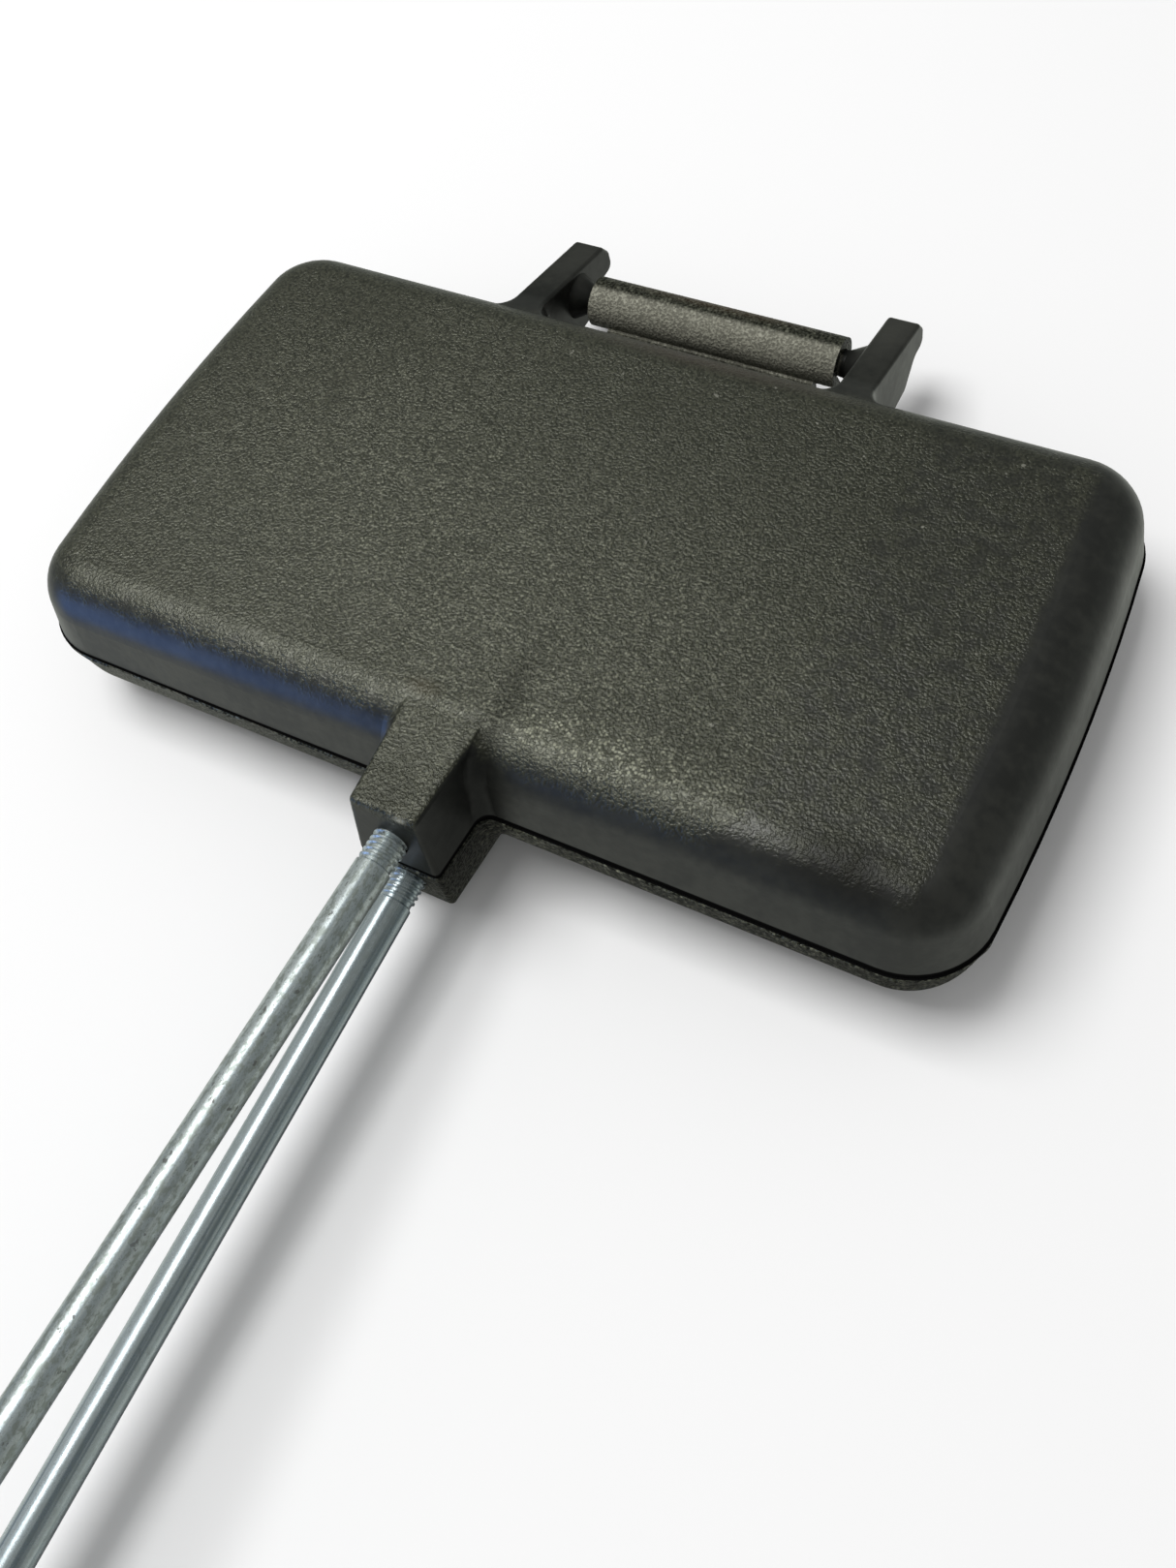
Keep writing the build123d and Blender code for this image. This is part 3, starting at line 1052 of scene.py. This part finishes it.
@dataclass
class CapNut:
    """A domed hex nut with chamfered corners, blind at the tail."""

    line: RodLine
    start: float = 521.6
    bore: float = 4.02
    bore_depth: float = 8.0
    apothem: float = 6.35
    hex_height: float = 6.8
    dome_radius: float = 5.7
    chamfer_slope: float = 0.55
    chamfer_steps: int = 6
    face_inset: float = 0.3
    dome_end: float = 88.0
    dome_steps: int = 14
    facets: int = 96
    least_radius: float = 1e-6

    def build(self, material: bpy.types.Material) -> None:
        """Model the cap nut.

        Args:
            material: The plated finish.
        """
        corner = self.apothem / math.cos(math.pi / 6)
        top = self.start + self.hex_height
        face = self.apothem - self.face_inset
        places = range(self.chamfer_steps + 1)
        chamfer = [face + (corner - face) * i / self.chamfer_steps for i in places]
        drops = [(radius - face) * self.chamfer_slope for radius in chamfer]
        bore_end = self.start + self.bore_depth
        profile = [
            (0.0, bore_end), (self.bore, bore_end), (self.bore, self.start),
            *((radius, self.start + drop) for radius, drop in zip(chamfer, drops)),
            *((radius, top - drop) for radius, drop in zip(reversed(chamfer), reversed(drops))),
            *arc((0.0, top), self.dome_radius, 0.0, self.dome_end, self.dome_steps),
            (0.0, top + self.dome_radius),
        ]
        turning = Turning(self.line)
        turning.lathe(profile, self.facets)
        for vertex in turning.mesh.verts:
            bearing = math.atan2(vertex.co.y, vertex.co.x)
            off_flat = math.remainder(bearing - math.pi / 6, math.pi / 3)
            limit = self.apothem / math.cos(off_flat)
            vertex.co.xy *= min(1.0, limit / max(vertex.co.xy.length, self.least_radius))
        turning.finish("cap_nut", "domed", material)


@dataclass
class RimBead:
    """The ragged bead of iron that squeezed out of the mould along the lower rim's front."""

    bottom: float = 17.2
    top: float = 18.5
    layers: int = 4
    back: float = -45.0
    fade: float = 8.0
    slice_width: float = 0.8
    half_length: float = 117.0
    sunk: float = 0.4
    bulge: Point = (0.05, 0.60)
    even: float = 0.42
    lump_swing: float = 1.1
    lump_length: float = 4.0
    wave_swing: float = 0.8
    wave_share: float = 0.31
    merge: float = 0.001

    @staticmethod
    def cut(mesh: bmesh.types.BMesh, place: Sequence[float], facing: Sequence[float],
            clear: bool = False) -> None:
        """Cut the mesh along a plane.

        Args:
            mesh: The mesh.
            place: A point of the plane, in millimetres.
            facing: The plane's normal.
            clear: Whether what lies in front of the plane goes.
        """
        bmesh.ops.bisect_plane(
            mesh, geom=[*mesh.verts, *mesh.edges, *mesh.faces], dist=1e-7,
            plane_co=Vector(place) * MM, plane_no=facing, clear_outer=clear,
        )

    def proud(self, place: Vector) -> float:
        """How far the bead stands out of the wall.

        Args:
            place: A point of the wall, in millimetres.

        Returns:
            The distance, in millimetres.
        """
        along = Vector((place.x, place.y, 0.0)) / self.lump_length
        waves = self.wave_swing * noise.noise(along * self.wave_share)
        rough = self.even + self.lump_swing * noise.noise(along) + waves
        level = (place.z - self.bottom) / (self.top - self.bottom)
        rounding = math.sqrt(max(0.0, 4 * level * (1 - level)))
        fade = min(1.0, max(0.0, (self.back - place.y) / self.fade))
        low, high = self.bulge
        return (low + (high - low) * min(1.0, max(0.0, rough))) * rounding * fade

    def build(self, material: bpy.types.Material) -> None:
        """Model the bead from a strip of the lower pan's outer wall.

        Args:
            material: The cast-iron finish.
        """
        mesh = bmesh.new()
        mesh.from_mesh(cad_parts[Half.LOWER.node("pan")].data)
        bmesh.ops.remove_doubles(mesh, verts=mesh.verts, dist=self.merge * MM)
        self.cut(mesh, (0.0, 0.0, self.top), (0, 0, 1), clear=True)
        self.cut(mesh, (0.0, 0.0, self.bottom), (0, 0, -1), clear=True)
        self.cut(mesh, (0.0, self.back, 0.0), (0, 1, 0), clear=True)
        inward = [face for face in mesh.faces if face.normal.dot(face.calc_center_median()) < 0]
        bmesh.ops.delete(mesh, geom=inward, context="FACES")
        for index in range(1, self.layers):
            level = self.bottom + (self.top - self.bottom) * index / self.layers
            self.cut(mesh, (0.0, 0.0, level), (0, 0, 1))
        slices = round(2 * self.half_length / self.slice_width)
        for index in range(1, slices):
            self.cut(mesh, (self.half_length * (2 * index / slices - 1), 0.0, 0.0), (1, 0, 0))
        mesh.normal_update()
        outs = {vertex: vertex.normal.copy() for vertex in mesh.verts}
        bmesh.ops.solidify(mesh, geom=[*mesh.faces], thickness=self.sunk * MM)
        for vertex, out in outs.items():
            vertex.co += out * self.proud(vertex.co / MM) * MM
        finish_piece(mesh, "lower_rim_bead", Half.LOWER, material)


# --- The iron ------------------------------------------------------------------------------------


@dataclass
class PieIron:
    """The whole iron: both pans, and what each rod carries."""

    @staticmethod
    def dress_pan(half: Half, material: bpy.types.Material) -> None:
        """Give one packed pan its finish.

        Args:
            half: Which half.
            material: The cast-iron finish.
        """
        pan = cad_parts[half.node("pan")]
        pan.data.materials.clear()
        pan.data.materials.append(material)
        LOG.info("%s: packed shape, dressed", pan.name)

    def build(self) -> None:
        """Build and dress everything."""
        # Painted highlight: more painted glints along the lower lip.
        lip = (GlintPatch((30.0, -58.0, 12.0), (110.0, 16.0, 12.0), 1.6),)
        bead = CastIron(
            "bead_iron", side_grain=1.0, seam_shade=0.0, even_glint=0.8, glint_patches=lip,
            glint_scale=1050.0, grain_depth=0.22, glint_lift=0.015, grain_gloss=(0.15, 1.35),
        )
        RimBead().build(bead.material())
        iron = {
            Half.UPPER: CastIron("upper_iron"),
            Half.LOWER: replace(
                bead, name="lower_iron", side_grain=0.9, seam_shade=1.0, even_glint=0.5,
            ),
        }
        zinc = {
            Half.UPPER: ZincPlate(
                "upper_zinc", RodLine(Half.UPPER).lean, clouding=0.75, streaking=0.5, metal=0.62,
                colour=(0.45, 0.50, 0.50), cloud_colour=(0.19, 0.215, 0.19),
            ),
            Half.LOWER: ZincPlate(
                "lower_zinc", RodLine(Half.LOWER).lean, clouding=0.2, streaking=0.9, metal=0.62,
            ),
        }
        plated = ZincPlate(
            "bright_plate", 0.0, clouding=0.15, streaking=0.8, metal=0.9,
            colour=(0.62, 0.62, 0.58), streak_colour=(0.56, 0.56, 0.53),
        ).material()
        for half in Half:
            line = RodLine(half)
            self.dress_pan(half, iron[half].material())
            Rod(line).build(zinc[half].material())
            Grip(line).build(TurnedWood(half.node("turned_wood"), line.lean).material())
            for piece in (Ferrule(line), Washer(line), CapNut(line)):
                piece.build(plated)


# --- Studio ---------------------------------------------------------------------------------


@dataclass
class Lamp:
    """A soft rectangular lamp aimed at the pans."""

    name: str
    place: tuple[float, float, float]
    size: tuple[float, float]
    power: float
    colour: Colour = (1.0, 1.0, 1.0)
    target: tuple[float, float, float] = (0.0, 0.0, 0.02)

    def light(self) -> None:
        """Hang the lamp."""
        data = bpy.data.lights.new(self.name, "AREA")
        data.shape = "RECTANGLE"
        data.size, data.size_y = self.size
        data.energy = self.power
        data.color = self.colour
        lamp = bpy.data.objects.new(self.name, data)
        lamp.location = self.place
        aim = Vector(self.target) - lamp.location
        lamp.rotation_euler = aim.to_track_quat("-Z", "Y").to_euler()
        lamp.visible_camera = False
        bpy.context.scene.collection.objects.link(lamp)


@dataclass
class Studio:
    """Floor, world, lamp, dome and camera."""

    floor_size: float = 60.0
    floor_colour: Colour = (0.85, 0.85, 0.85)
    floor_roughness: float = 0.9
    floor_gloss: float = 0.1
    rear_edge: float = 50.5
    world_level: float = 0.45
    dome_radius: float = 2.55
    upper_fade: Point = (0.20, 0.50)
    lower_fade: Point = (-0.60, -0.95)
    skirt_fade: Point = (-0.05, -0.35)
    horizon_colour: Colour = (0.27, 0.29, 0.26)
    skirt_colour: Colour = (0.70, 0.73, 0.66)
    zenith_colour: Colour = (0.20, 0.21, 0.19)
    nadir_colour: Colour = (0.06, 0.06, 0.06)
    window_place: tuple[float, float, float] = (-1770.0, -1830.0, 150.0)
    window_reach: tuple[float, float, float] = (1620.0, 1620.0, 1500.0)
    window_fade: Point = (0.20, 0.80)
    window_colour: Colour = (0.74, 1.28, 2.80)
    camera_place: tuple[float, float, float] = (125.134, -164.285, 273.622)
    azimuth: float = 39.896
    elevation: float = 59.281
    roll: float = -14.760
    lens: float = 32.435
    sensor: float = 36.0

    def resting_tilt(self) -> float:
        """How far the iron leans back when it lies on its lower pan and lower grip.

        Returns:
            The angle of the supporting plane about X, in radians.
        """
        tilt = 0.0
        for piece in ("grip", "washer", "cap_nut", "ferrule"):
            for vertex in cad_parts[Half.LOWER.node(piece)].data.vertices:
                reach = self.rear_edge * MM - vertex.co.y
                tilt = max(tilt, math.atan2(-vertex.co.z, reach))
        return tilt

    def floor(self) -> None:
        """Lay the pale floor under the resting iron."""
        mesh = bmesh.new()
        bmesh.ops.create_grid(mesh, x_segments=1, y_segments=1, size=self.floor_size / 2)
        edge = Vector((0.0, self.rear_edge * MM, 0.0))
        turn = Matrix.Rotation(self.resting_tilt(), 4, "X")
        bmesh.ops.transform(mesh, matrix=Matrix.Translation(edge) @ turn, verts=mesh.verts)
        data = bpy.data.meshes.new("floor")
        mesh.to_mesh(data)
        mesh.free()
        graph = Graph("floor_paper")
        data.materials.append(graph.surface(
            Base_Color=self.floor_colour, Roughness=self.floor_roughness,
            Specular_IOR_Level=self.floor_gloss,
        ))
        floor = bpy.data.objects.new("floor", data)
        floor.visible_glossy = False
        bpy.context.scene.collection.objects.link(floor)

    def world(self) -> None:
        """A plain world: soft grey light, and white where the camera or a gloss sees it."""
        world = bpy.data.worlds.new("studio")
        bpy.context.scene.world = world
        world.use_nodes = True
        tree = world.node_tree
        background = tree.nodes["Background"]
        background.inputs["Color"].default_value = (1.0, 1.0, 1.0, 1.0)
        path = tree.nodes.new("ShaderNodeLightPath")
        seen = tree.nodes.new("ShaderNodeMath")
        seen.operation = "MAXIMUM"
        tree.links.new(path.outputs["Is Camera Ray"], seen.inputs[0])
        shiny = tree.nodes.new("ShaderNodeMath")
        shiny.operation = "MAXIMUM"
        tree.links.new(path.outputs["Is Glossy Ray"], shiny.inputs[0])
        tree.links.new(path.outputs["Is Transmission Ray"], shiny.inputs[1])
        tree.links.new(shiny.outputs[0], seen.inputs[1])
        level = tree.nodes.new("ShaderNodeMapRange")
        tree.links.new(seen.outputs[0], level.inputs["Value"])
        level.inputs["To Min"].default_value = self.world_level
        level.inputs["To Max"].default_value = 1.0
        tree.links.new(level.outputs[0], background.inputs["Strength"])

    def lamp(self) -> None:
        """Hang the soft lamp."""
        Lamp("overhead_lamp", place=(-0.66, -0.15, 1.80), size=(1.05, 1.05), power=30.4).light()

    def dome(self) -> None:
        """Put a dim dome over the iron, for its reflections alone."""
        mesh = bmesh.new()
        bmesh.ops.create_uvsphere(mesh, u_segments=48, v_segments=24, radius=self.dome_radius)
        data = bpy.data.meshes.new("dome")
        mesh.to_mesh(data)
        mesh.free()
        data.shade_smooth()
        graph = Graph("dome_cloth")
        _, _, z = graph.split(graph.place())
        height = graph.math("DIVIDE", z, self.dome_radius)
        above = graph.ramp(height, *self.upper_fade)
        colour = graph.mix(above, self.horizon_colour, self.zenith_colour)
        colour = graph.mix(graph.ramp(height, *self.skirt_fade), colour, self.skirt_colour)
        colour = graph.mix(graph.ramp(height, *self.lower_fade), colour, self.nadir_colour)
        window = graph.ramp(graph.near(self.window_place, self.window_reach), *self.window_fade)
        colour = graph.mix(window, colour, self.window_colour)
        data.materials.append(graph.surface(
            Base_Color=(0.0, 0.0, 0.0), Specular_IOR_Level=0.0,
            Emission_Color=colour, Emission_Strength=1.0,
        ))
        dome = bpy.data.objects.new("dome", data)
        dome.visible_camera = False
        dome.visible_diffuse = False
        dome.visible_shadow = False
        dome.visible_transmission = False
        bpy.context.scene.collection.objects.link(dome)

    def camera(self) -> None:
        """Set the camera up."""
        data = bpy.data.cameras.new("camera")
        data.lens = self.lens
        data.sensor_width = self.sensor
        data.clip_start = 0.01
        camera = bpy.data.objects.new("camera", data)
        tip, swing = math.radians(90 - self.elevation), math.radians(self.azimuth)
        look = Euler((tip, 0.0, swing)).to_matrix()
        rolled = look @ Matrix.Rotation(math.radians(self.roll), 3, "Z")
        camera.matrix_world = Matrix.Translation(Vector(self.camera_place) * MM) @ rolled.to_4x4()
        bpy.context.scene.collection.objects.link(camera)
        bpy.context.scene.camera = camera

    def build(self) -> None:
        """Set the whole studio up."""
        self.floor()
        self.world()
        self.lamp()
        self.dome()
        self.camera()
        bpy.context.scene.view_settings.view_transform = "Standard"


def main() -> None:
    """Build the iron and its studio."""
    logging.basicConfig(level=logging.INFO, format="%(message)s")
    PieIron().build()
    Studio().build()


if __name__ == "__main__":
    main()
